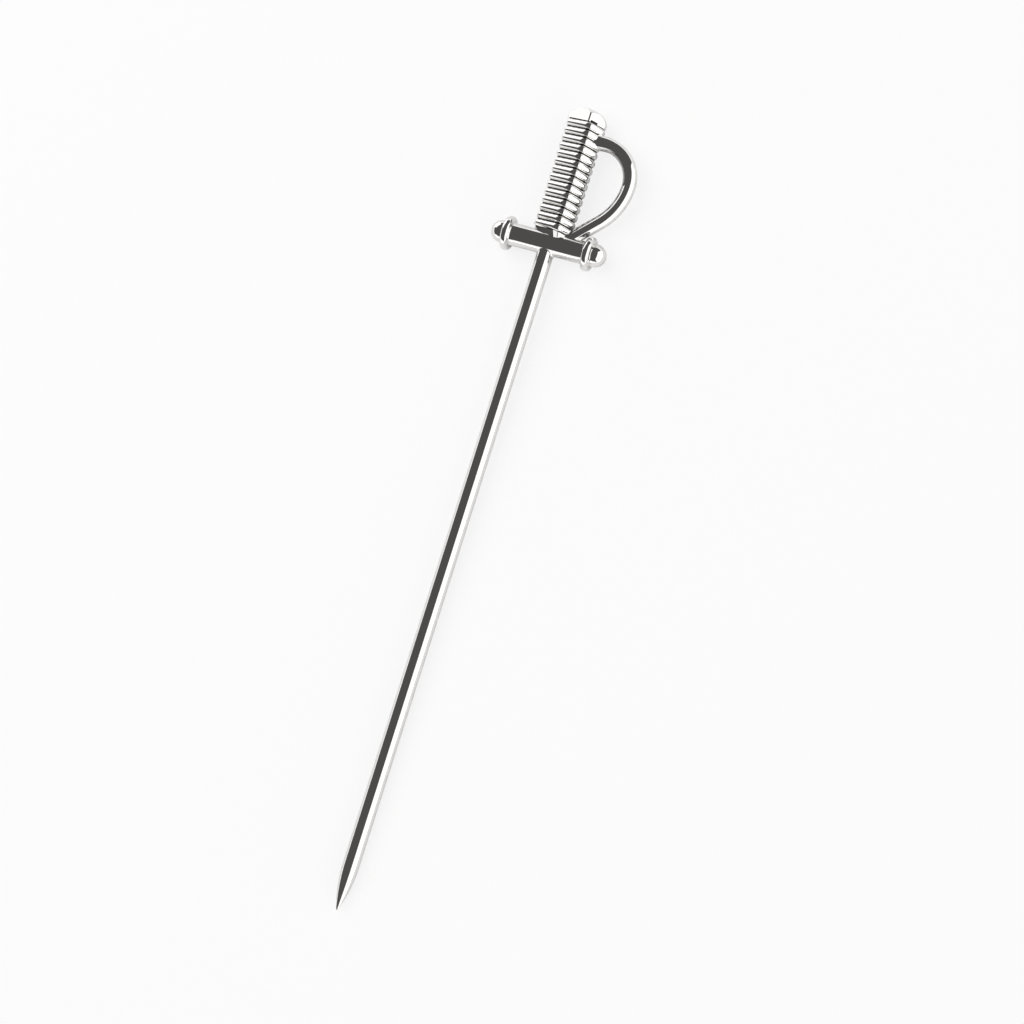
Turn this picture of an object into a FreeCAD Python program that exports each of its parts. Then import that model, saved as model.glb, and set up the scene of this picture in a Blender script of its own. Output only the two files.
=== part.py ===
import FreeCAD, Part
import math
import os

# Cocktail pick shaped like a small sword, one polished metal casting, in millimetres.
# The pick is drawn round the middle of its guard: X runs along the guard towards the knuckle bow,
# Y up the grip towards the pommel, Z through the thickness. It is then laid down as it rests.

# Blade: a straight round rod with a pointed end
blade_reach = 93.8         # middle of the guard to the tip
blade_d = 2.3
point_length = 6.5         # the stretch over which the rod narrows to its point
tip_radius = 0.16          # the point is a little blunt
blade_root_d = 2.5         # the rod thickens slightly towards its root inside the guard
blade_root_length = 2.6    # middle of the guard to where the thickening ends
blade_root_fillet = 0.28   # where the rod grows out of the guard

# Guard: a round bar with a collar and a ball at each end
bar_d = 3.1
collar_spacing = 11.7      # from the middle of one collar to the middle of the other
collar_d = 4.7
collar_width = 1.1
collar_round = 0.48        # rounding of a collar's two rims
ball_d = 3.1
ball_spacing = 13.5        # from the centre of one ball to the centre of the other

# Grip: fourteen rounded ribs on a core of six-sided section, its ridges nearer the bow
grip_width = 5.55
grip_depth = 5.2           # from the front ridge to the back ridge, before both are rounded
ridge_offset = 1.15        # how far the ridges' corners stand from the middle, towards the bow
bow_side_flat = 1.0        # height of the narrow face on the bow side
back_side_flat = 0.85      # height of the narrow face on the other side
side_round = 0.55          # rounding of the four corners beside the narrow faces
foot_height = 1.65         # where the lowest rib starts, above the middle of the guard
ribs_length = 15.58        # from the lowest rib to the pommel
rib_count = 14
rib_slope = 5.0            # degrees by which the ribs run down towards the bow
rib_round = 0.47           # rounding of a rib's edges
ridge_round = 0.53         # rounding of the ridges on the flat of a rib
groove_depth = 0.25
groove_gap = 0.05          # width of a groove's floor between two ribs

# Foot of the grip, which narrows towards the bar
foot_grip_depth = 2.6      # the grip's depth where the narrowing ends
foot_drop = 1.3            # how far the narrowing runs down from the lowest rib

# Pommel: a block like the grip's section with crisp ridges and a domed top
pommel_height = 1.97
pommel_depth = 4.5         # from the front ridge to the back ridge
pommel_ridge_offset = 0.8
pommel_dome_radius = 3.9
pommel_shoulder_round = 1.9    # where the dome rolls over to the sides
pommel_overhang = 0.05         # how far the turned shoulder reaches past the grip's sides
pommel_ridge_round = 0.25
pommel_rim_round = 0.2         # easing of the edge between the facets and the dome

# Knuckle bow: a round rod that arches from below the pommel to the guard
bow_d = 1.93
bow_reach = 8.3            # middle of the grip to the rod's centreline, at its widest
bow_top = 15.1             # height of the centreline where the rod leaves the grip
bow_crown_radius = 4.95    # the quarter turn beside the pommel
bow_side_radius = 7.9      # the slacker curve below it
bow_side_turn = 45.2       # degrees that the slacker curve turns, before the straight foot
bow_root_offset = 0.95     # where the rod starts inside the grip, from its middle
bow_root_d = 2.4           # the rod is thicker at its root inside the grip
bow_root_taper = 1.2       # how far along the crown the thickening reaches

# Limits
round_share = 0.45         # most of a width that the rounding on each of its edges may take
near = 0.05                # how far off its place an edge may measure when it is looked up

# Sizes that follow
blade_r = blade_d / 2
root_r = max(blade_root_d / 2, blade_r + near)
bar_r = bar_d / 2
collar_r = collar_d / 2
ball_r = ball_d / 2
bow_r = bow_d / 2
guard_half_length = ball_spacing / 2 + ball_r
rib_pitch = ribs_length / rib_count
rib_height = rib_pitch - groove_gap
pommel_bottom = foot_height + ribs_length
pommel_top = pommel_bottom + pommel_height
point_radius = ((point_length - tip_radius) ** 2 / (blade_r - tip_radius) + blade_r + tip_radius) / 2

ORIGIN = FreeCAD.Vector(0, 0, 0)
X_AXIS = FreeCAD.Vector(1, 0, 0)
Y_AXIS = FreeCAD.Vector(0, 1, 0)
Z_AXIS = FreeCAD.Vector(0, 0, 1)


def vec(x, y, z=0.0):
    return FreeCAD.Vector(x, y, z)


def line(start, end):
    return Part.LineSegment(start, end).toShape()


def arc(start, middle, end):
    return Part.Arc(start, middle, end).toShape()


# Sections of the grip

def grip_corners(depth, ridge_x):
    """The six corners (x, z) of the grip's section, anticlockwise seen from the tip."""
    side = grip_width / 2
    half = depth / 2
    share = depth / grip_depth
    bow_flat = bow_side_flat / 2 * share
    back_flat = back_side_flat / 2 * share
    return [(side, bow_flat), (ridge_x, half), (-side, back_flat),
            (-side, -back_flat), (ridge_x, -half), (side, -bow_flat)]


def outward_normal(start, end):
    length = math.hypot(end[0] - start[0], end[1] - start[1])
    return ((end[1] - start[1]) / length, (start[0] - end[0]) / length)


def inset(corners, depth):
    """The same outline with each side moved inwards by depth."""
    moved = []
    for i, corner in enumerate(corners):
        before = outward_normal(corners[i - 1], corner)
        after = outward_normal(corner, corners[(i + 1) % len(corners)])
        spread = 1 + before[0] * after[0] + before[1] * after[1]
        moved.append((corner[0] - depth * (before[0] + after[0]) / spread,
                      corner[1] - depth * (before[1] + after[1]) / spread))
    return moved


def rounded_outline(corners, radii, height):
    """A closed wire at a height on the grip, with an arc of its own radius at each corner."""
    starts, middles, ends = [], [], []
    for i, corner in enumerate(corners):
        following = corners[(i + 1) % len(corners)]
        before = outward_normal(corners[i - 1], corner)
        after = outward_normal(corner, following)
        spread = 1 + before[0] * after[0] + before[1] * after[1]
        shorter = min(math.dist(corners[i - 1], corner), math.dist(corner, following))
        radius = min(radii[i], round_share * shorter / math.sqrt(2 / spread - 1))
        centre = (corner[0] - radius * (before[0] + after[0]) / spread,
                  corner[1] - radius * (before[1] + after[1]) / spread)
        mean = math.hypot(before[0] + after[0], before[1] + after[1])
        starts.append(vec(centre[0] + radius * before[0], height, centre[1] + radius * before[1]))
        middles.append(vec(centre[0] + radius * (before[0] + after[0]) / mean, height,
                           centre[1] + radius * (before[1] + after[1]) / mean))
        ends.append(vec(centre[0] + radius * after[0], height, centre[1] + radius * after[1]))
    edges = []
    for i in range(len(corners)):
        edges.append(arc(starts[i], middles[i], ends[i]))
        edges.append(line(ends[i], starts[(i + 1) % len(corners)]))
    return Part.Wire(edges)


def corner_radii(ridge, side):
    return [side, ridge, side, side, ridge, side]


def ridge_height(corners, ridge):
    """How high the front ridge stands above the middle once it is rounded."""
    before = outward_normal(corners[0], corners[1])
    after = outward_normal(corners[1], corners[2])
    spread = 1 + before[0] * after[0] + before[1] * after[1]
    return corners[1][1] + ridge * (1 - (before[1] + after[1]) / spread)


def sloped(shape, height):
    """Turned about the grip's middle at a height, so that it lies lower on the bow side."""
    turned = shape.copy()
    turned.rotate(vec(0, height), Z_AXIS, -rib_slope)
    return turned


def prism(wire, height):
    return Part.Face(wire).extrude(vec(0, height, 0))


# Blade

def blade():
    """The rod with its pointed end, turned round the Y axis."""
    shoulder = point_length - blade_reach
    tip_centre = tip_radius - blade_reach
    arc_centre = vec(blade_r - point_radius, shoulder)
    swing = math.atan2(shoulder - tip_centre, point_radius - blade_r)

    def on_point(angle):
        return arc_centre + vec(point_radius * math.cos(angle), -point_radius * math.sin(angle))

    def on_tip(angle):
        return vec(tip_radius * math.cos(angle), tip_centre - tip_radius * math.sin(angle))

    growth = root_r - blade_r
    root_radius = (blade_root_length ** 2 + growth ** 2) / (2 * growth)
    sweep = math.asin(blade_root_length / root_radius)

    def on_root(angle):
        return vec(blade_r + root_radius * (1 - math.cos(angle)),
                   root_radius * math.sin(angle) - blade_root_length)

    nose = math.pi / 2
    profile = [line(ORIGIN, vec(root_r, 0)),
               arc(vec(root_r, 0), on_root(sweep / 2), on_root(0)),
               line(on_root(0), vec(blade_r, shoulder)),
               arc(vec(blade_r, shoulder), on_point(swing / 2), on_point(swing)),
               arc(on_point(swing), on_tip((swing + nose) / 2), vec(0, -blade_reach)),
               line(vec(0, -blade_reach), ORIGIN)]
    return Part.Face(Part.Wire(profile)).revolve(ORIGIN, Y_AXIS, 360)


# Guard

def guard_end(side):
    """The outline of a collar and a ball, from the bar to the tip, on one side of the middle."""
    inner = (collar_spacing - collar_width) / 2
    outer = (collar_spacing + collar_width) / 2
    rim = min(collar_round, round_share * collar_width)
    cut = rim * (1 - math.sqrt(0.5))
    centre = ball_spacing / 2
    seam = math.acos((outer - centre) / ball_r)
    swing = seam / 2
    return [line(vec(side * inner, bar_r), vec(side * inner, collar_r - rim)),
            arc(vec(side * inner, collar_r - rim), vec(side * (inner + cut), collar_r - cut),
                vec(side * (inner + rim), collar_r)),
            line(vec(side * (inner + rim), collar_r), vec(side * (outer - rim), collar_r)),
            arc(vec(side * (outer - rim), collar_r), vec(side * (outer - cut), collar_r - cut),
                vec(side * outer, collar_r - rim)),
            line(vec(side * outer, collar_r - rim), vec(side * outer, ball_r * math.sin(seam))),
            arc(vec(side * outer, ball_r * math.sin(seam)),
                vec(side * (centre + ball_r * math.cos(swing)), ball_r * math.sin(swing)),
                vec(side * guard_half_length, 0))]


def guard():
    """Bar, collars and balls in one outline, turned round the X axis."""
    inner = (collar_spacing - collar_width) / 2
    bar = line(vec(-inner, bar_r), vec(inner, bar_r))
    axis = line(vec(guard_half_length, 0), vec(-guard_half_length, 0))
    outline = Part.Wire([bar] + guard_end(1) + [axis] + guard_end(-1)[::-1])
    return Part.Face(outline).revolve(ORIGIN, X_AXIS, 360)


def blade_and_guard():
    """Both fused, with a fillet along the closed curve where the rod meets the bar."""
    joined = guard().fuse(blade()).removeSplitter()
    meeting = []
    for edge in joined.Edges:
        box = edge.BoundBox
        on_bar = box.YMin > -bar_r - near and box.YMax < -near
        on_rod = max(abs(box.XMin), abs(box.XMax), abs(box.ZMin), abs(box.ZMax)) < root_r + near
        if on_bar and on_rod:
            meeting.append(edge)
    return joined.makeFillet(blade_root_fillet, meeting)


# Grip

def rib(bottom):
    """One ring of the grip with both of its edges rounded, at a slope."""
    radii = corner_radii(rib_round + ridge_round, max(side_round, rib_round + near))
    plate = prism(rounded_outline(grip_corners(grip_depth, ridge_offset), radii, bottom), rib_height)
    rims = [e for e in plate.Edges if e.BoundBox.YLength < rib_height / 2]
    ring = plate.makeFillet(min(rib_round, round_share * rib_height), rims)
    return sloped(ring, bottom + rib_height / 2)


def ribs():
    return [rib(foot_height + groove_gap / 2 + i * rib_pitch) for i in range(rib_count)]


def core_outline(depth, height):
    ridge = max(rib_round + ridge_round - groove_depth, near)
    side = max(side_round - groove_depth, near)
    corners = inset(grip_corners(depth, ridge_offset), groove_depth)
    return rounded_outline(corners, corner_radii(ridge, side), height)


def core():
    """What the ribs stand on, and the foot that narrows from the lowest rib into the bar."""
    start = sloped(core_outline(grip_depth, foot_height), foot_height)
    shaft = prism(start, ribs_length + groove_depth)
    foot = Part.makeLoft([core_outline(foot_grip_depth, foot_height - foot_drop), start], True, True)
    return [shaft, foot]


def pommel_dome():
    """A turned shape: a flat dome that rolls over into a steeper shoulder, wide enough for the grip."""
    reach = grip_width / 2 + pommel_overhang
    lean = (reach - pommel_shoulder_round) / (pommel_dome_radius - pommel_shoulder_round)
    slope = math.asin(lean)
    flat_centre = pommel_top - pommel_dome_radius
    turn_centre = vec(reach - pommel_shoulder_round,
                      flat_centre + (pommel_dome_radius - pommel_shoulder_round) * math.cos(slope))

    def on_dome(angle):
        return vec(pommel_dome_radius * math.sin(angle), flat_centre + pommel_dome_radius * math.cos(angle))

    def on_shoulder(angle):
        return turn_centre + vec(pommel_shoulder_round * math.sin(angle),
                                 pommel_shoulder_round * math.cos(angle))

    side = math.pi / 2
    floor = foot_height
    outline = [line(vec(0, floor), vec(0, pommel_top)),
               arc(vec(0, pommel_top), on_dome(slope / 2), on_dome(slope)),
               arc(on_dome(slope), on_shoulder((slope + side) / 2), on_shoulder(side)),
               line(on_shoulder(side), vec(reach, floor)),
               line(vec(reach, floor), vec(0, floor))]
    return Part.Face(Part.Wire(outline)).revolve(ORIGIN, Y_AXIS, 360)


def above_base(corner):
    """How far a corner of the pommel lies above its sloping base."""
    return corner.Point.y - pommel_bottom + corner.Point.x * math.tan(math.radians(rib_slope))


def pommel():
    """A block flush with the ribs, its top turned to a dome and the edge round the dome eased."""
    radii = corner_radii(pommel_ridge_round, side_round)
    outline = rounded_outline(grip_corners(pommel_depth, pommel_ridge_offset), radii, pommel_bottom)
    block = prism(sloped(outline, pommel_bottom), pommel_height + pommel_dome_radius)
    domed = block.common(pommel_dome())
    rim = []
    for wall in domed.Faces:
        heights = [above_base(corner) for corner in wall.Vertexes]
        if min(heights) < near < max(heights):
            rim += [e for e in wall.Edges if min(above_base(c) for c in e.Vertexes) > near]
    return domed.makeFillet(min(pommel_rim_round, round_share * 2 * pommel_ridge_round), rim)


# Knuckle bow

def bow():
    """The rod swept along a quarter turn, a slacker curve and a straight foot in the bar."""
    crown = vec(bow_reach - bow_crown_radius, bow_top - bow_crown_radius)
    side = vec(bow_reach - bow_side_radius, crown.y)
    turn = math.radians(bow_side_turn)
    root = vec(bow_root_offset, bow_top)
    leaving = crown + vec(0, bow_crown_radius)
    half = math.sqrt(0.5) * bow_crown_radius
    widest = vec(bow_reach, crown.y)
    halfway = side + vec(bow_side_radius * math.cos(turn / 2), -bow_side_radius * math.sin(turn / 2))
    straight = side + vec(bow_side_radius * math.cos(turn), -bow_side_radius * math.sin(turn))
    seat = vec(straight.x - straight.y * math.tan(turn), 0)
    path = Part.Wire([line(root, leaving),
                      arc(leaving, crown + vec(half, half), widest),
                      arc(widest, halfway, straight),
                      line(straight, seat)])
    section = Part.Wire(Part.Circle(root, X_AXIS, bow_r).toShape())
    rod = path.makePipeShell([section], True, False)
    swing = bow_root_taper / bow_crown_radius
    outside = crown + vec(bow_crown_radius * math.sin(swing), bow_crown_radius * math.cos(swing))
    run = outside - root
    taper = Part.makeCone(bow_root_d / 2, bow_r, run.Length, root, run)
    return [rod, taper]


# The whole pick, laid down

def rest_height():
    """How high the guard's middle lies: on its collars, or on the grip or pommel if they reach lower."""
    ribs_reach = ridge_height(grip_corners(grip_depth, ridge_offset), rib_round + ridge_round)
    pommel_reach = ridge_height(grip_corners(pommel_depth, pommel_ridge_offset), pommel_ridge_round)
    return max(collar_r, ribs_reach, pommel_reach)


def rest_tilt():
    """Degrees by which the blade slopes down, so that the collars and the blade's shoulder touch
    the surface together."""
    shoulder = blade_reach - point_length
    depth = point_radius - blade_r
    rise = (rest_height() - point_radius) / math.hypot(shoulder, depth)
    return math.degrees(math.atan2(depth, shoulder) + math.asin(rise))


def lay_down(shape):
    """Turned until it rests, its box centred over the origin and its lowest points at Z = 0."""
    tilt = rest_tilt()
    level = math.cos(math.radians(tilt))
    tip_y = -(blade_reach - tip_radius) * level - tip_radius
    top_y = (pommel_top - pommel_dome_radius) * level + pommel_dome_radius
    bow_x = max(guard_half_length, bow_reach + bow_r)
    shape.rotate(ORIGIN, X_AXIS, tilt)
    shape.translate(vec((guard_half_length - bow_x) / 2, -(tip_y + top_y) / 2,
                        rest_height()))
    return shape


def sword_pick():
    hilt = core() + ribs() + [pommel()] + bow()
    whole = blade_and_guard().fuse(hilt).removeSplitter()
    return lay_down(whole)


def report(name, shape):
    box = shape.optimalBoundingBox()
    print(name, "valid", shape.isValid(), "solids", len(shape.Solids), "faces", len(shape.Faces))
    print("volume", round(shape.Volume, 2), "mm3")
    print("box", [round(v, 3) for v in (box.XMin, box.YMin, box.ZMin, box.XMax, box.YMax, box.ZMax)])


os.makedirs("parts", exist_ok=True)
pick = sword_pick()
report("sword_pick", pick)
pick.exportStep("parts/sword_pick.step")
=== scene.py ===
# %% [markdown]
# A cocktail pick in the form of a small sword, about 11 cm long: one polished metal casting with a
# pointed round blade, a guard with collars and balls, a ribbed grip, a domed pommel and a knuckle bow.
# The CAD model already gives its exact sizes and place. Its mesh is made of flat facets, which a
# mirror finish would show, so this lesson builds the same shape again with smooth, fine surfaces.

# %% Load the frame
import math

import bmesh
import bpy
from mathutils import Matrix, Vector


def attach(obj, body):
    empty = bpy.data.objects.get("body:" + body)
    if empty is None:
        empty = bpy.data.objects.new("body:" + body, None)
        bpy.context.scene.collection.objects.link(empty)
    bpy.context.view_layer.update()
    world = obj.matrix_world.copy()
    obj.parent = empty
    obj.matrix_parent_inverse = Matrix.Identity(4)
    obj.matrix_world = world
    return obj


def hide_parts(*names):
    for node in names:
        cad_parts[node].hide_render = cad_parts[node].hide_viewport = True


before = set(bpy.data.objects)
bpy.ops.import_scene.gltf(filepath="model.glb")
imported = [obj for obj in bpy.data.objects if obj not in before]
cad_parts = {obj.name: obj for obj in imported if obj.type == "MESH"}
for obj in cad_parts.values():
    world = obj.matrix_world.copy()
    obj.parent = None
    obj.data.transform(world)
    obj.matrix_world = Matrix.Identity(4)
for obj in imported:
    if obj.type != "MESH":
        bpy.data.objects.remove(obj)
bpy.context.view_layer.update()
scene = bpy.context.scene

# %% [markdown]
# The pick is drawn in millimetres round the middle of its guard, because its parts are turned and
# swept round that point: X runs along the guard towards the bow, Y up the grip, Z through the
# thickness. It rests on its collars and on the shoulder of its point, so it lies at a small slope.
# One matrix at the very end shrinks it to metres and lays it down where the CAD solid lies.

# %% Where the pick lies
MM = 0.001
REST_TILT = math.radians(0.7863713)
GUARD_PLACE = Vector((-0.4825, 37.29631, 2.35))
lay_down = (Matrix.Scale(MM, 4) @ Matrix.Translation(GUARD_PLACE)
            @ Matrix.Rotation(REST_TILT, 4, "X"))
print("the tip lies at", [round(c * 1000, 2) for c in lay_down @ Vector((0, -93.8, 0))])

# %% [markdown]
# A turned or swept piece starts as a line of points, its profile. Two small pens draw one: the first
# extrudes the last point along a straight line, the second spins it round a centre, which leaves an
# exact arc. This keeps every radius of the drawing, which a hand-placed list of points would blur.

# %% Two pens that draw a profile
SAME_POINT = 0.0005


def pen_down(shape, x, y, z=0.0):
    return bmesh.ops.create_vert(shape, co=(x, y, z))["vert"][0]


def straight_to(shape, point, target, steps=1):
    start, target = point.co.copy(), Vector(target)
    for step in range(1, steps + 1):
        point = bmesh.ops.extrude_vert_indiv(shape, verts=[point])["verts"][0]
        point.co = start.lerp(target, step / steps)
    return point


def arc_round(shape, point, centre, degrees, steps, axis=(0, 0, 1)):
    spun = bmesh.ops.spin(shape, geom=[point], cent=centre, axis=axis, dvec=(0, 0, 0),
                          angle=math.radians(degrees), steps=steps, use_merge=False,
                          use_normal_flip=False, use_duplicate=False)
    return spun["geom_last"][0]


def turn_on_lathe(shape, axis, steps):
    """Spins the whole profile once round an axis through the guard's middle and closes it."""
    bmesh.ops.spin(shape, geom=shape.verts[:] + shape.edges[:], cent=(0, 0, 0), axis=axis,
                   dvec=(0, 0, 0), angle=math.tau, steps=steps, use_merge=True,
                   use_normal_flip=False, use_duplicate=False)
    bmesh.ops.remove_doubles(shape, verts=shape.verts[:], dist=SAME_POINT)
    bmesh.ops.recalc_face_normals(shape, faces=shape.faces[:])


print("the pens are ready")

# %% [markdown]
# Each part is drawn in a mesh of its own and then poured into one common mesh, because the real
# pick is one casting. Edges where two surfaces meet at a real angle are marked sharp, so the smooth
# shading stays inside each surface.

# %% One mesh for the whole casting
casting = bmesh.new()
# Slot 1 is the groove metal, whose dark colour is painted shade.
POLISHED, GROOVE = 0, 1


def pour(shape, name, finish=POLISHED, sharp_from=38):
    for face in shape.faces:
        face.smooth = True
        face.material_index = finish
    for edge in shape.edges:
        if len(edge.link_faces) == 2 and edge.calc_face_angle() > math.radians(sharp_from):
            edge.smooth = False
    made = bpy.data.meshes.new(name)
    shape.to_mesh(made)
    open_edges = sum(1 for edge in shape.edges if len(edge.link_faces) != 2)
    triangles = sum(len(face.verts) - 2 for face in shape.faces)
    shape.free()
    casting.from_mesh(made)
    bpy.data.meshes.remove(made)
    print(name, "has", triangles, "triangles and", open_edges, "open edges")


# %% [markdown]
# The blade is a round rod of 2.3 mm with a pointed end, like a knitting needle. It could be a
# cylinder with a cone, but the real point is an ogive that leaves the rod without an edge. So the
# profile is drawn from the blunt tip up: a small arc, the long arc of the point, the straight rod
# and a slow thickening at the root, and then it is turned on the lathe.

# %% Blade
BLADE_R, BLADE_REACH = 1.15, 93.8
POINT_LENGTH, TIP_R = 6.5, 0.16
ROOT_R, ROOT_LENGTH = 1.25, 2.6

point_r = ((POINT_LENGTH - TIP_R) ** 2 / (BLADE_R - TIP_R) + BLADE_R + TIP_R) / 2
point_sweep = math.degrees(math.atan2(POINT_LENGTH - TIP_R, point_r - BLADE_R))
root_growth_r = (ROOT_LENGTH ** 2 + (ROOT_R - BLADE_R) ** 2) / (2 * (ROOT_R - BLADE_R))
root_sweep = math.degrees(math.asin(ROOT_LENGTH / root_growth_r))

blade = bmesh.new()
pen = pen_down(blade, 0, -BLADE_REACH)
pen = arc_round(blade, pen, (0, TIP_R - BLADE_REACH, 0), 90 - point_sweep, 5)
pen = arc_round(blade, pen, (BLADE_R - point_r, POINT_LENGTH - BLADE_REACH, 0), point_sweep, 22)
pen = straight_to(blade, pen, (BLADE_R, -ROOT_LENGTH, 0), 12)
pen = arc_round(blade, pen, (BLADE_R + root_growth_r, -ROOT_LENGTH, 0), -root_sweep, 4)
pen = straight_to(blade, pen, (0, 0, 0))
turn_on_lathe(blade, (0, 1, 0), 56)
print("the point narrows along an arc of", round(point_r, 2), "mm")
pour(blade, "blade")

# %% [markdown]
# Where the rod grows out of the bar a small fillet of 0.28 mm runs round it. The joint of two round
# bars isn't a circle, so a plain torus would gape at the sides. Instead a ring is turned and each of
# its points is moved to where a ball of that radius touches, as it rolls round between both bars.

# %% Fillet at the blade's root
BAR_R = 1.55
FILLET_R = 0.28

ring_r = BLADE_R + (ROOT_LENGTH - BAR_R - FILLET_R) ** 2 / (2 * root_growth_r)
fillet = bmesh.new()
pen = pen_down(fillet, ring_r, -BAR_R - FILLET_R)
arc_round(fillet, pen, (ring_r + FILLET_R, -BAR_R - FILLET_R, 0), -90, 6)
turn_on_lathe(fillet, (0, 1, 0), 56)
for point in fillet.verts:
    across = Vector((point.co.x, 0, point.co.z))
    roll = math.atan2(point.co.y + BAR_R + FILLET_R, ring_r + FILLET_R - across.length)
    side = across.normalized()
    ball = side * (ring_r + FILLET_R)
    ball.y = -math.sqrt((BAR_R + FILLET_R) ** 2 - ball.z ** 2)
    to_bar = Vector((0, -ball.y, -ball.z)).normalized()
    share = roll / (math.pi / 2)
    point.co = ball + FILLET_R * (-side).slerp(to_bar, share)
bmesh.ops.recalc_face_normals(fillet, faces=fillet.faces[:])
pour(fillet, "blade fillet")

# %% [markdown]
# The guard is a round bar with a collar and a ball at each end, all round the same axis. Separate
# cylinders and spheres would leave hard seams between them. One profile from the end of the ball to
# the middle of the bar, turned on the lathe and mirrored, keeps it one skin, with the collar's rims
# rolled over and a small hollow where the collar meets the bar.

# %% Guard
COLLAR_R, COLLAR_WIDTH, COLLAR_PLACE, COLLAR_ROUND = 2.35, 1.1, 5.85, 0.48
BALL_R, BALL_PLACE = 1.55, 6.75
SEAM_ROUND = 0.12

guard = bmesh.new()
outer = COLLAR_PLACE + COLLAR_WIDTH / 2
inner = COLLAR_PLACE - COLLAR_WIDTH / 2
seam = math.degrees(math.acos((outer - BALL_PLACE) / BALL_R))
pen = pen_down(guard, BALL_PLACE + BALL_R, 0)
pen = arc_round(guard, pen, (BALL_PLACE, 0, 0), seam, 22)
pen = straight_to(guard, pen, (outer, COLLAR_R - COLLAR_ROUND, 0), 2)
pen = arc_round(guard, pen, (outer - COLLAR_ROUND, COLLAR_R - COLLAR_ROUND, 0), 90, 9)
pen = straight_to(guard, pen, (inner + COLLAR_ROUND, COLLAR_R, 0), 1)
pen = arc_round(guard, pen, (inner + COLLAR_ROUND, COLLAR_R - COLLAR_ROUND, 0), 90, 9)
pen = straight_to(guard, pen, (inner, BAR_R + SEAM_ROUND, 0), 1)
pen = arc_round(guard, pen, (inner - SEAM_ROUND, BAR_R + SEAM_ROUND, 0), -90, 4)
pen = straight_to(guard, pen, (0, BAR_R, 0), 6)
turn_on_lathe(guard, (1, 0, 0), 72)
bmesh.ops.mirror(guard, geom=guard.verts[:] + guard.edges[:] + guard.faces[:], axis="X",
                 matrix=Matrix.Identity(4), merge_dist=SAME_POINT)
bmesh.ops.recalc_face_normals(guard, faces=guard.faces[:])
pour(guard, "guard")

# %% [markdown]
# The grip has a six-sided section: a rounded ridge along the front and one along the back, nearer
# the bow, and a narrow face on each side. Every part of the grip starts from this outline, so one
# function draws it for any depth, corner radius and slope. It walks round the corners with the two
# pens, and each corner becomes an exact arc, which a bevel of the finished solid would only come near.

# %% Outline of the grip
GRIP_WIDTH, GRIP_DEPTH, RIDGE_OFFSET = 5.55, 5.2, 1.15
BOW_SIDE_FLAT, BACK_SIDE_FLAT = 1.0, 0.85


def grip_corners(depth, ridge_x):
    side, half, share = GRIP_WIDTH / 2, depth / 2, depth / GRIP_DEPTH / 2
    bow, back = BOW_SIDE_FLAT * share, BACK_SIDE_FLAT * share
    return [Vector(c) for c in ((side, bow), (ridge_x, half), (-side, back),
                                (-side, -back), (ridge_x, -half), (side, -bow))]


def grip_outline(shape, corners, y, ridge_r, side_r, inset=0.0, steps=6, flat_steps=1, slope=0.0):
    """Draws the outline at height y, moved inwards by an inset, and returns its loop of edges."""
    radii = (side_r, ridge_r, side_r, side_r, ridge_r, side_r)
    before = set(shape.edges)
    first = pen = None
    for i, here in enumerate(corners):
        into = (here - corners[i - 1]).normalized()
        away = (corners[(i + 1) % 6] - here).normalized()
        turn = into.angle(away)
        inwards = Vector((-into.y, into.x))
        centre = here - into * radii[i] * math.tan(turn / 2) + inwards * radii[i]
        start = centre - inwards * (radii[i] - inset)
        if pen is None:
            first = pen = pen_down(shape, start.x, y, start.y)
        else:
            pen = straight_to(shape, pen, (start.x, y, start.y), flat_steps)
        pen = arc_round(shape, pen, (centre.x, y, centre.y), math.degrees(turn), steps, (0, -1, 0))
    pen = straight_to(shape, pen, first.co, flat_steps)
    bmesh.ops.weld_verts(shape, targetmap={pen: first})
    loop = [edge for edge in shape.edges if edge not in before]
    bmesh.ops.rotate(shape, verts=list({v for edge in loop for v in edge.verts}), cent=(0, y, 0),
                     matrix=Matrix.Rotation(math.radians(-slope), 3, "Z"))
    return loop


RIB_CORNERS = grip_corners(GRIP_DEPTH, RIDGE_OFFSET)
print("the grip's corners are at", [(round(c.x, 2), round(c.y, 2)) for c in RIB_CORNERS])

# %% [markdown]
# Under the ribs runs a plain core, which shows only as the floor of the grooves. Below the lowest
# rib it narrows into the bar, as a polished foot. Two outlines joined by a bridge make the foot, and
# one outline extruded up into the pommel makes the core.

# %% Foot and core of the grip
FOOT_HEIGHT, FOOT_GRIP_DEPTH, FOOT_DROP = 1.65, 2.6, 1.3
RIBS_LENGTH, RIB_COUNT, RIB_ROUND, RIDGE_ROUND, SIDE_ROUND = 15.58, 14, 0.47, 0.53, 0.55
RIB_SLOPE, GROOVE_DEPTH, GROOVE_GAP = 5.0, 0.25, 0.05
POMMEL_BOTTOM = FOOT_HEIGHT + RIBS_LENGTH
CORE_RADII = (RIB_ROUND + RIDGE_ROUND, SIDE_ROUND, GROOVE_DEPTH, 4)

foot = bmesh.new()
low = grip_outline(foot, grip_corners(FOOT_GRIP_DEPTH, RIDGE_OFFSET), FOOT_HEIGHT - FOOT_DROP,
                   *CORE_RADII)
high = grip_outline(foot, RIB_CORNERS, FOOT_HEIGHT, *CORE_RADII, slope=RIB_SLOPE)
bmesh.ops.bridge_loops(foot, edges=low + high)
bmesh.ops.holes_fill(foot, edges=foot.edges[:], sides=0)
bmesh.ops.recalc_face_normals(foot, faces=foot.faces[:])
pour(foot, "foot of the grip")

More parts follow.
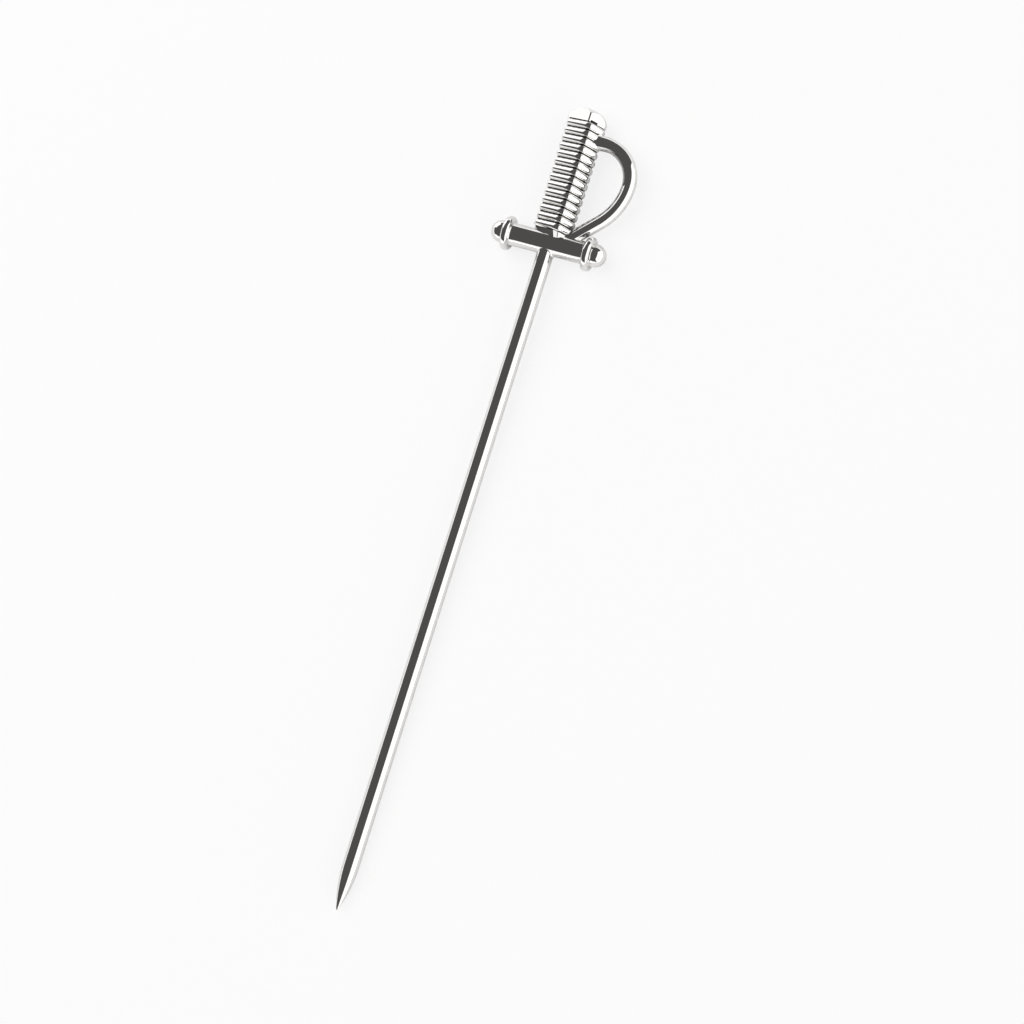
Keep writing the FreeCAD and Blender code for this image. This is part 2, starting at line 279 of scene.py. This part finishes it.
core = bmesh.new()
bottom = grip_outline(core, RIB_CORNERS, FOOT_HEIGHT, *CORE_RADII, slope=RIB_SLOPE)
raised = bmesh.ops.extrude_edge_only(core, edges=bottom)["geom"]
bmesh.ops.translate(core, verts=[g for g in raised if isinstance(g, bmesh.types.BMVert)],
                    vec=(0, RIBS_LENGTH + GROOVE_DEPTH, 0))
bmesh.ops.holes_fill(core, edges=core.edges[:], sides=0)
bmesh.ops.recalc_face_normals(core, faces=core.faces[:])
# The core shows only in the grooves, so it takes the groove metal with its painted shade.
pour(core, "grip core", GROOVE)

# %% [markdown]
# Fourteen ribs ring the grip, and each lies a little lower on the bow's side. Each could be a torus
# pressed to the section, but the real ones are slices of the grip with rolled edges that meet in a
# thin dark groove. So one outline is filled, extruded to a slice and its two rims bevelled to a round
# edge. The slice is then sloped about its middle and copied upwards.

# %% Ribs
RIB_PITCH = RIBS_LENGTH / RIB_COUNT
RIB_HEIGHT = RIB_PITCH - GROOVE_GAP

ribs = bmesh.new()
rim = grip_outline(ribs, RIB_CORNERS, FOOT_HEIGHT + GROOVE_GAP / 2, RIB_ROUND + RIDGE_ROUND,
                   SIDE_ROUND, steps=8)
slab = bmesh.ops.edgeloop_fill(ribs, edges=rim)["faces"]
risen = bmesh.ops.extrude_face_region(ribs, geom=slab, use_keep_orig=True)["geom"]
bmesh.ops.translate(ribs, verts=[g for g in risen if isinstance(g, bmesh.types.BMVert)],
                    vec=(0, RIB_HEIGHT, 0))
rims = [edge for edge in ribs.edges if abs(edge.verts[0].co.y - edge.verts[1].co.y) < 0.01]
bmesh.ops.bevel(ribs, geom=rims, offset=RIB_ROUND, offset_type="OFFSET", affect="EDGES",
                segments=6, profile=0.5, material=-1, clamp_overlap=False)
bmesh.ops.recalc_face_normals(ribs, faces=ribs.faces[:])
one_rib = ribs.verts[:] + ribs.edges[:] + ribs.faces[:]
bmesh.ops.rotate(ribs, verts=ribs.verts[:], cent=(0, FOOT_HEIGHT + RIB_PITCH / 2, 0),
                 matrix=Matrix.Rotation(math.radians(-RIB_SLOPE), 3, "Z"))
for place in range(1, RIB_COUNT):
    copy = bmesh.ops.duplicate(ribs, geom=one_rib)["geom"]
    bmesh.ops.translate(ribs, verts=[g for g in copy if isinstance(g, bmesh.types.BMVert)],
                        vec=(0, RIB_PITCH * place, 0))
print("a rib is", round(RIB_HEIGHT, 3), "mm high, every", round(RIB_PITCH, 3), "mm")
pour(ribs, "ribs")

# %% [markdown]
# The pommel continues the grip's section and ends in a flat dome that rolls over into a steeper
# shoulder. A sphere cut by the section would need a Boolean, whose cuts leave ragged shading. Here
# the outline is extruded in rings that shrink towards the middle, and each point is dropped onto the
# dome's own curve, so facets and dome meet in one clean edge, which is then eased.

# %% Pommel
POMMEL_HEIGHT, POMMEL_DEPTH, POMMEL_RIDGE, DOME_R, SHOULDER_R = 1.97, 4.5, 0.8, 3.9, 1.9
RIDGE_EASE, RIM_EASE = 0.25, 0.2
POMMEL_TOP = POMMEL_BOTTOM + POMMEL_HEIGHT
OVERHANG = 0.05
SHOULDER_REACH = GRIP_WIDTH / 2 + OVERHANG - SHOULDER_R

shoulder_slope = math.asin(SHOULDER_REACH / (DOME_R - SHOULDER_R))
shoulder_y = POMMEL_TOP - DOME_R + (DOME_R - SHOULDER_R) * math.cos(shoulder_slope)


def dome_height(radius):
    if radius < DOME_R * math.sin(shoulder_slope):
        return POMMEL_TOP - DOME_R + math.sqrt(DOME_R ** 2 - radius ** 2)
    return shoulder_y + math.sqrt(max(SHOULDER_R ** 2 - (radius - SHOULDER_REACH) ** 2, 0.0))


pommel = bmesh.new()
ring = grip_outline(pommel, grip_corners(POMMEL_DEPTH, POMMEL_RIDGE), POMMEL_BOTTOM, RIDGE_EASE,
                    SIDE_ROUND, steps=5, flat_steps=10, slope=RIB_SLOPE)
rim, last = None, 1.0
for share in (1.0, 0.95, 0.9, 0.84, 0.77, 0.69, 0.6, 0.5, 0.39, 0.27, 0.15, 0.05):
    risen = bmesh.ops.extrude_edge_only(pommel, edges=ring)["geom"]
    points = [g for g in risen if isinstance(g, bmesh.types.BMVert)]
    ring = [g for g in risen if isinstance(g, bmesh.types.BMEdge)]
    for point in points:
        x, z = point.co.x * share / last, point.co.z * share / last
        point.co = (x, dome_height(math.hypot(x, z)), z)
    rim, last = rim or ring, share
bmesh.ops.holes_fill(pommel, edges=pommel.edges[:], sides=0)
bmesh.ops.bevel(pommel, geom=rim, offset=RIM_EASE, offset_type="OFFSET", affect="EDGES", segments=4,
                profile=0.5, material=-1, clamp_overlap=True)
bmesh.ops.recalc_face_normals(pommel, faces=pommel.faces[:])
print("the pommel's top is", round(POMMEL_TOP, 2), "mm above the middle of the guard")
pour(pommel, "pommel")

# %% [markdown]
# The knuckle bow is a round rod of 1.93 mm. It leaves the grip below the pommel, turns down in a
# quarter circle, runs on in a slacker curve and ends straight in the bar. A curve object with a
# bevel would do, but carrying one hoop of edges round the drawing's own centres gives exactly its
# arcs. Near the grip the hoop starts larger and shrinks, because the rod thickens to its root.

# %% Knuckle bow
BOW_R, BOW_REACH, BOW_TOP, CROWN_R, SIDE_R, SIDE_TURN = 0.965, 8.3, 15.1, 4.95, 7.9, 45.2
BOW_ROOT_X, BOW_ROOT_R, BOW_TAPER_TURN = 0.95, 1.2, 13.9

crown = Vector((BOW_REACH - CROWN_R, BOW_TOP - CROWN_R, 0))
slack = Vector((BOW_REACH - SIDE_R, crown.y, 0))
bow = bmesh.new()
bmesh.ops.create_circle(bow, cap_ends=False, segments=36, radius=BOW_ROOT_R,
                        matrix=Matrix.Translation((BOW_ROOT_X, BOW_TOP, 0))
                        @ Matrix.Rotation(math.pi / 2, 4, "Y"))


def carry(hoop, move, steps, first_r, last_r):
    """Extrudes the rod's last hoop step by step, moves each new one and gives it its radius."""
    for step in range(1, steps + 1):
        out = bmesh.ops.extrude_edge_only(bow, edges=hoop)["geom"]
        points = [g for g in out if isinstance(g, bmesh.types.BMVert)]
        hoop = [g for g in out if isinstance(g, bmesh.types.BMEdge)]
        bmesh.ops.transform(bow, verts=points, matrix=move)
        middle = sum((point.co for point in points), Vector()) / len(points)
        for point in points:
            radius = first_r + (last_r - first_r) * step / steps
            point.co = middle + (point.co - middle).normalized() * radius
    return hoop


def sweep(hoop, centre, degrees, steps, first_r=BOW_R, last_r=BOW_R):
    turn = Matrix.Rotation(math.radians(degrees / steps), 4, "Z")
    move = Matrix.Translation(centre) @ turn @ Matrix.Translation(-centre)
    return carry(hoop, move, steps, first_r, last_r)


def push(hoop, way, steps, first_r=BOW_R, last_r=BOW_R):
    return carry(hoop, Matrix.Translation(way / steps), steps, first_r, last_r)


straight = crown.x - BOW_ROOT_X
taper = straight + CROWN_R * math.radians(BOW_TAPER_TURN)
middle_r = BOW_ROOT_R + (BOW_R - BOW_ROOT_R) * straight / taper
hoop = push(bow.edges[:], Vector((straight, 0, 0)), 4, BOW_ROOT_R, middle_r)
hoop = sweep(hoop, crown, -BOW_TAPER_TURN, 4, middle_r)
hoop = sweep(hoop, crown, BOW_TAPER_TURN - 90, 22)
hoop = sweep(hoop, slack, -SIDE_TURN, 18)
turn = math.radians(SIDE_TURN)
low_end = slack + SIDE_R * Vector((math.cos(turn), -math.sin(turn), 0))
seat = Vector((low_end.x - low_end.y * math.tan(turn), 0, 0))
push(hoop, seat - low_end, 4)
bmesh.ops.holes_fill(bow, edges=bow.edges[:], sides=0)
bmesh.ops.recalc_face_normals(bow, faces=bow.faces[:])
print("the bow meets the bar's axis", round(seat.x, 2), "mm from the middle")
pour(bow, "knuckle bow")

# %% [markdown]
# Colours are written as a painter picks them, in hex, while the renderer works in linear light. One
# function turns the first into the second. A second one adds a node with its settings and links, so
# that each finish below reads as a short list.

# %% Colours and nodes
def linear(hex_colour):
    parts = [int(hex_colour[i:i + 2], 16) / 255 for i in (1, 3, 5)]
    return [c / 12.92 if c <= 0.04045 else ((c + 0.055) / 1.055) ** 2.4 for c in parts] + [1.0]


def add_node(tree, kind, settings=None, values=None, links=None):
    node = tree.nodes.new(kind)
    for name, value in (settings or {}).items():
        setattr(node, name, value)
    for name, value in (values or {}).items():
        node.inputs[name].default_value = value
    for name, source in (links or {}).items():
        tree.links.new(source, node.inputs[name])
    return node


def new_material(name):
    material = bpy.data.materials.new(name)
    material.use_nodes = True
    material.node_tree.nodes.clear()
    return material, material.node_tree


print("#EFEEEC in linear light is", [round(c, 3) for c in linear("#EFEEEC")[:3]])

# %% [markdown]
# The finish is polished cast metal, as bright as silver plate. It is almost a mirror, so its look is
# made of what it reflects, and a low roughness keeps those reflections crisp. Hand polishing leaves a
# casting slightly uneven, which a faint noise of 2.5 mm gives as a bump: it makes the long reflections
# waver a little. Polish hardly reaches the grooves, so they are duller, and their dark colour is
# painted shade, standing in for the shadow that falls deep in the narrow grooves.

# %% Polished metal
WAVE_LENGTH, WAVE_HEIGHT = 2.5, 0.02
polished, tree = new_material("polished cast metal")
place = add_node(tree, "ShaderNodeTexCoord")
waves = add_node(tree, "ShaderNodeTexNoise", values={"Scale": 1 / (WAVE_LENGTH * MM), "Detail": 1.0},
                 links={"Vector": place.outputs["Object"]})
uneven = add_node(tree, "ShaderNodeBump", values={"Strength": 0.35, "Distance": WAVE_HEIGHT * MM},
                  links={"Height": waves.outputs["Fac"]})
metal = add_node(tree, "ShaderNodeBsdfPrincipled",
                 values={"Base Color": linear("#EFEEEC"), "Metallic": 1.0, "Roughness": 0.05},
                 links={"Normal": uneven.outputs["Normal"]})
add_node(tree, "ShaderNodeOutputMaterial", links={"Surface": metal.outputs["BSDF"]})

# The groove metal is rough and dull, and its dark colour is painted shade for the shadow deep in the
# grooves.
grooves, tree = new_material("dull metal with painted groove shade")
dull_metal_with_painted_shade = add_node(tree, "ShaderNodeBsdfPrincipled",
                values={"Base Color": linear("#2E2B29"), "Metallic": 1.0, "Roughness": 0.35})
add_node(tree, "ShaderNodeOutputMaterial", links={"Surface": dull_metal_with_painted_shade.outputs["BSDF"]})
print("materials", polished.name, "and", grooves.name)

# %% [markdown]
# The casting is finished, so its mesh is turned, shrunk and laid down in one go, and its object stays
# at the origin. Weighted normals let the large faces lead the shading, so that the narrow rolled
# edges don't bend the reflections on the flats beside them.

# %% Lay the casting down
casting.transform(lay_down)
mesh = bpy.data.meshes.new("sword_pick_casting")
casting.to_mesh(mesh)
casting.free()
mesh.materials.append(polished)
mesh.materials.append(grooves)
pick = bpy.data.objects.new("sword_pick_casting", mesh)
scene.collection.objects.link(pick)
even = pick.modifiers.new("even shading", "WEIGHTED_NORMAL")
even.keep_sharp = True
even.weight = 50
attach(pick, "root")
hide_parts("sword_pick")
print("the casting has", sum(len(p.vertices) - 2 for p in mesh.polygons), "triangles")

# %% [markdown]
# The camera looks down on the pick through an 85 mm lens, a little from the bow's side and from the
# tip's side, and is turned so that the blade runs down to the left. Four plain numbers and a point
# to aim at say all of it.

# %% Camera
AIM = Vector((6.484, -36.28, 0))
LEAN_TO_BOW, LEAN_TO_TIP, ROLL = math.radians(15.6), math.radians(3.42), math.radians(17.57)
DISTANCE = 323.2

back = Vector((math.sin(LEAN_TO_BOW) * math.cos(LEAN_TO_TIP), -math.sin(LEAN_TO_TIP),
               math.cos(LEAN_TO_BOW) * math.cos(LEAN_TO_TIP)))
up = Vector((0, 1, 0))
up = (up - up.dot(back) * back).normalized()
right = up.cross(back)
turned = Matrix.Rotation(ROLL, 3, back) @ Matrix((right, up, back)).transposed()
camera_data = bpy.data.cameras.new("camera")
camera_data.lens, camera_data.sensor_width = 85, 36
camera = bpy.data.objects.new("camera", camera_data)
scene.collection.objects.link(camera)
tilt_only = Matrix.Rotation(REST_TILT, 4, "X")
place = Matrix.Translation(AIM + back * DISTANCE) @ turned.to_4x4()
camera.matrix_world = (Matrix.Translation(GUARD_PLACE * MM) @ tilt_only
                       @ Matrix.Translation(place.translation * MM) @ place.to_3x3().to_4x4())
camera_data.clip_start, camera_data.clip_end = 0.01, 10
scene.camera = camera
print("the camera stands", [round(c, 3) for c in camera.matrix_world.translation])

# %% [markdown]
# A mirror shows its surroundings, so the studio is half of the finish. The pick lies on a sheet of
# matt white paper. The camera sees it with a share of plain white mixed in, so it comes out almost
# white and still keeps the pick's soft shadow. The metal sees the paper as it is lit, which gives the
# rods a thin grey line where they come near the sheet.

# %% Floor
FLOOR_REACH, CAMERA_WHITE = 2.0, 0.8
floor_shape = bmesh.new()
bmesh.ops.create_grid(floor_shape, x_segments=1, y_segments=1, size=FLOOR_REACH)
floor_mesh = bpy.data.meshes.new("floor")
floor_shape.to_mesh(floor_mesh)
floor_shape.free()
floor = bpy.data.objects.new("floor", floor_mesh)
scene.collection.objects.link(floor)
paper, tree = new_material("matt white paper")
sheet = add_node(tree, "ShaderNodeBsdfDiffuse", values={"Color": linear("#F4F4F4")})
glow = add_node(tree, "ShaderNodeEmission", values={"Color": (1, 1, 1, 1), "Strength": 1.0})
ray = add_node(tree, "ShaderNodeLightPath")
share = add_node(tree, "ShaderNodeMath", {"operation": "MULTIPLY"}, {1: CAMERA_WHITE},
                 {0: ray.outputs["Is Camera Ray"]})
mixed = add_node(tree, "ShaderNodeMixShader", links={0: share.outputs[0], 1: sheet.outputs[0],
                                                     2: glow.outputs[0]})
add_node(tree, "ShaderNodeOutputMaterial", links={"Surface": mixed.outputs[0]})
floor_mesh.materials.append(paper)
print("the floor is a sheet of", round(floor.dimensions.x, 1), "m")

# %% [markdown]
# Far round the paper stands a low white rim. The place where the white paper ends and the dark room
# starts shows in every rod as the edge of its dark core. The rim moves that edge up by nine degrees,
# which narrows the core and brings it nearer to that of the real pick.

# %% Low white rim
RIM_PLACE, RIM_HEIGHT = 0.8, 0.125
rim_shape = bmesh.new()
circle = bmesh.ops.create_circle(rim_shape, cap_ends=False, segments=64, radius=RIM_PLACE)["verts"]
raised = bmesh.ops.extrude_edge_only(rim_shape, edges=rim_shape.edges[:])["geom"]
bmesh.ops.translate(rim_shape, verts=[g for g in raised if isinstance(g, bmesh.types.BMVert)],
                    vec=(0, 0, RIM_HEIGHT))
rim_mesh = bpy.data.meshes.new("low white rim")
rim_shape.to_mesh(rim_mesh)
rim_shape.free()
rim = bpy.data.objects.new("low white rim", rim_mesh)
scene.collection.objects.link(rim)
lit_card, tree = new_material("lit white card")
glow = add_node(tree, "ShaderNodeEmission", values={"Color": (1, 1, 1, 1), "Strength": 1.1})
add_node(tree, "ShaderNodeOutputMaterial", links={"Surface": glow.outputs[0]})
rim_mesh.materials.append(lit_card)
print("the rim rises", round(math.degrees(math.atan(RIM_HEIGHT / RIM_PLACE)), 1), "degrees")

# %% [markdown]
# Large rectangles of light stand round the pick and show in the metal as broad bright bands: a wall
# beside the bow, a card to the upper left and a low one beyond the tip. Between them the dark room
# shows, which makes the dark core of the rods. The key lamp lights only the paper, and is hidden from
# the metal because its reflection would cut the dark cores in two.

# %% Lamps
def soft_lamp(name, place, aim, width, height, level, seen=True):
    """A rectangle of light whose face has the given level, 1 being white."""
    data = bpy.data.lights.new(name, "AREA")
    data.shape, data.size, data.size_y = "RECTANGLE", width, height
    data.energy = level * math.pi * width * height
    lamp = bpy.data.objects.new(name, data)
    scene.collection.objects.link(lamp)
    lamp.location = place
    lamp.rotation_euler = (Vector(aim) - Vector(place)).to_track_quat("-Z", "Y").to_euler()
    lamp.visible_glossy = seen
    return lamp


soft_lamp("wall of light beside the bow", place=(0.55, 0.0, 0.42), aim=(0, 0, 0.42),
          width=1.6, height=0.84, level=1.2)
soft_lamp("card to the upper left", place=(-0.37, 0.33, 0.16), aim=(0, 0.05, 0.16),
          width=0.42, height=0.32, level=1.1)
soft_lamp("card beyond the tip", place=(-0.15, -0.6, 0.14), aim=(0, 0, 0.14),
          width=0.9, height=0.2, level=1.0)
soft_lamp("key lamp", place=(-0.4, 0.1, 0.7), aim=(0, 0, 0),
          width=0.9, height=0.9, level=2.3, seen=False)

# %% [markdown]
# The world is white to the camera, as behind the edge of the paper. Everything else meets a dark,
# slightly warm grey, the room that the tops of the rods reflect.

# %% World
world = bpy.data.worlds.new("studio")
scene.world = world
world.use_nodes = True
tree = world.node_tree
tree.nodes.clear()
ray = add_node(tree, "ShaderNodeLightPath")
white = add_node(tree, "ShaderNodeBackground", values={"Color": (1, 1, 1, 1), "Strength": 1.0})
dark = add_node(tree, "ShaderNodeBackground", values={"Color": linear("#535051"), "Strength": 1.0})
room = add_node(tree, "ShaderNodeMixShader", links={0: ray.outputs["Is Camera Ray"],
                                                    1: dark.outputs[0], 2: white.outputs[0]})
add_node(tree, "ShaderNodeOutputWorld", links={"Surface": room.outputs[0]})
scene.view_settings.view_transform = "Standard"
print("the world is white to the camera and dark to the metal")
